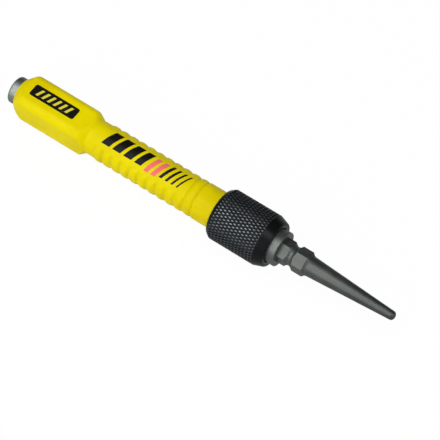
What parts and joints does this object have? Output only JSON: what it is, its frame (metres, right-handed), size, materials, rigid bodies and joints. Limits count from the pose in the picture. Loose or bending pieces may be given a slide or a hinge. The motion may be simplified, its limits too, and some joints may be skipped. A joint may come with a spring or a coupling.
{
  "type": "nail setter",
  "caption": "Hand nail setter with a square-headed ribbed handle, a knurled quick-release collar and a reversible tapered bit.",
  "frame": {"origin": "centre of the striking face, on the tool's axis", "axes": "+X along the tool towards its working tip, +Z out of the head's upper flat as the tool lies on its side"},
  "size_m": [0.1713, 0.0206, 0.0206],
  "materials": {
    "handle_plastic": "semi-gloss moulded plastic",
    "print_black": "black pad print, semi-gloss",
    "print_red": "light red pad print, semi-gloss",
    "shaft_steel": "plated steel, satin",
    "black_oxide": "black oxide, satin",
    "spring_steel": "bright spring steel",
    "bit_steel": "grey phosphated tool steel, satin"
  },
  "bodies": {
    "handle_body": {"handle": "handle_plastic", "striking_shaft": "shaft_steel", "seat_washer": "spring_steel", "retaining_ring": "spring_steel", "lock_clip": "spring_steel", "collar_spring": "spring_steel"},
    "collar_slider": {"thrust_washer": "spring_steel"},
    "collar": {"collar": "black_oxide"},
    "bit": {"bit": "bit_steel"}
  },
  "joints": [
    {"name": "collar_slide", "type": "slide", "parent": "handle_body", "child": "collar_slider", "axis": [-1, 0, 0], "range_m": [0, 0.0035], "stiffness_N_per_m": 600, "springref_m": -0.005, "deforming": ["collar_spring", "lock_clip"]},
    {"name": "collar_spin", "type": "hinge", "parent": "collar_slider", "child": "collar", "pos_m": [0.1, 0, 0], "axis": [1, 0, 0], "continuous": true},
    {"name": "bit_slide", "type": "slide", "parent": "handle_body", "child": "bit", "axis": [1, 0, 0], "range_m": [0, 0.052], "deforming": ["lock_clip"]}
  ]
}
